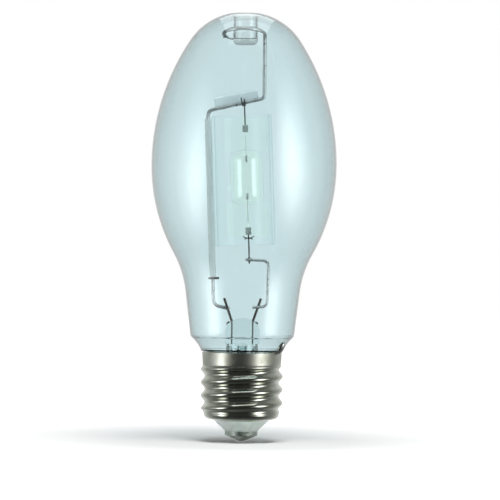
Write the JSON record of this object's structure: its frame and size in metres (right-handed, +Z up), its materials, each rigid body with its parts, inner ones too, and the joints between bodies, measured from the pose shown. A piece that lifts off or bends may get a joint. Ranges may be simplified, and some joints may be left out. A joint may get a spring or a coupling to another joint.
{
  "type": "metal halide lamp",
  "caption": "Metal halide lamp with a clear pear-shaped outer bulb, a quartz arc tube in a tube shroud on a wire frame, and a large nickel-plated screw cap",
  "frame": {"origin": "tip of the solder on the centre contact, on the lamp's axis, at the bottom centre of its bounds", "axes": "+Z up the lamp's axis from the cap to the dome, +X to the right and -Y towards the viewer as the lamp is seen"},
  "size_m": [0.0888, 0.0888, 0.2057],
  "materials": {
    "bulb_glass": "clear, blown, smooth",
    "stem_glass": "clear, pressed",
    "sleeve_glass": "clear, drawn",
    "quartz_glass": "clear, fire-polished",
    "dull_wire": "drawn, grey",
    "bright_wire": "drawn, bright",
    "bright_strip": "rolled, bright",
    "seal_foil": "rolled, dark",
    "cap_plating": "nickel-plated, bright",
    "cement": "cured, matt",
    "insulator_glass": "pressed glass, pale",
    "tinned_contact": "tinned, satin",
    "solder": "tin solder, satin"
  },
  "bodies": {
    "root": {"outer_bulb": "bulb_glass", "stem": "stem_glass", "exhaust_tube": "stem_glass", "left_lead_post": "dull_wire", "right_lead_post": "dull_wire", "left_seal_wire": "dull_wire", "right_seal_wire": "dull_wire", "side_lead_wire": "bright_wire", "centre_lead_wire": "bright_wire", "frame_wire": "bright_wire", "frame_sleeve": "sleeve_glass", "sleeve_stop": "bright_wire", "getter_strip": "bright_strip", "top_lead_clip": "bright_wire", "upper_lead": "dull_wire", "lower_lead": "dull_wire", "upper_foil": "seal_foil", "lower_foil": "seal_foil", "upper_electrode": "dull_wire", "lower_electrode": "dull_wire", "arc_tube": "quartz_glass", "lead_washer": "bright_strip", "support_wire": "bright_wire", "shroud_tube": "quartz_glass", "cap_shell": "cap_plating", "basing_cement": "cement", "insulator": "insulator_glass", "centre_contact": "tinned_contact", "centre_solder": "solder", "side_solder": "solder"}
  },
  "joints": []
}
